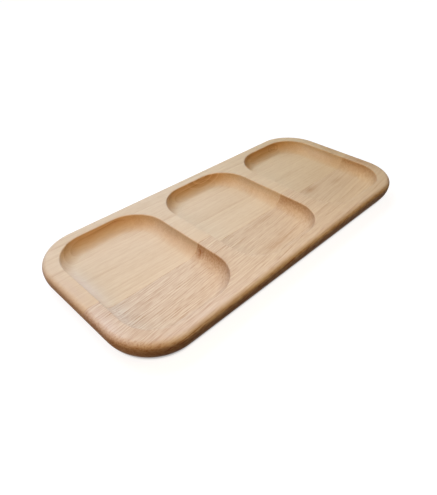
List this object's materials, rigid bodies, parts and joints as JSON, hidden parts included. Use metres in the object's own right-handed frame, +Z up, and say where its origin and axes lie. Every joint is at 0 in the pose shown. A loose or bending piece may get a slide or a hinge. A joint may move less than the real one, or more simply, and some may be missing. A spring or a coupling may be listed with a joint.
{
  "type": "divided serving tray",
  "caption": "Long solid beech serving tray with round corners, a row of shallow coved compartments, a rounded top edge and an undercut lower edge.",
  "frame": {"origin": "centre of the flat underside, on the surface that the tray stands on", "axes": "+X along the tray's length and the grain, towards its far end in the picture, +Y across the tray towards the wide stave, +Z up out of the compartments"},
  "size_m": [0.35, 0.16, 0.02],
  "materials": {
    "wide_stave_beech": "sanded and lightly oiled, satin",
    "narrow_stave_beech": "sanded and lightly oiled, satin",
    "dried_glue": "sanded flush with the wood"
  },
  "bodies": {
    "root": {"far_stave": "wide_stave_beech", "near_stave": "narrow_stave_beech", "glue_line": "dried_glue"}
  },
  "joints": []
}
